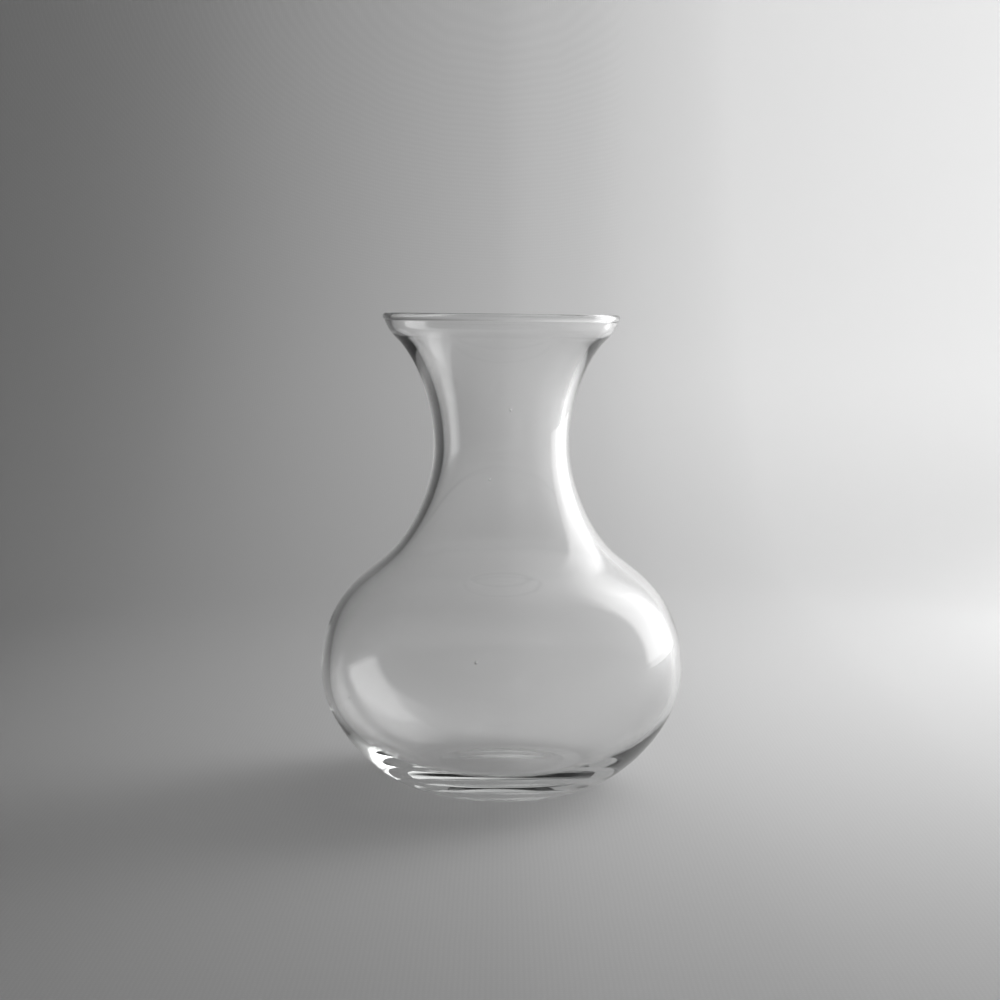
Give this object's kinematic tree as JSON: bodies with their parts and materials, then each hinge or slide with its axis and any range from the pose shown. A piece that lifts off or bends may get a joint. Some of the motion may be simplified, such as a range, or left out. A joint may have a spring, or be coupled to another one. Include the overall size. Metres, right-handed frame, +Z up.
{
  "type": "glass bud vase",
  "caption": "Clear glass bud vase with a round belly on a small thick base, a narrow neck and a flared mouth with a rounded lip.",
  "frame": {"origin": "on the vase's axis, on the surface that it stands on", "axes": "+Z up along the vase's axis, from the base to the mouth; the vase is round, so +X and +Y are free"},
  "size_m": [0.092, 0.092, 0.12],
  "materials": {
    "clear_glass": "smooth fire-polished clear glass"
  },
  "bodies": {
    "root": {"vase": "clear_glass"}
  },
  "joints": []
}
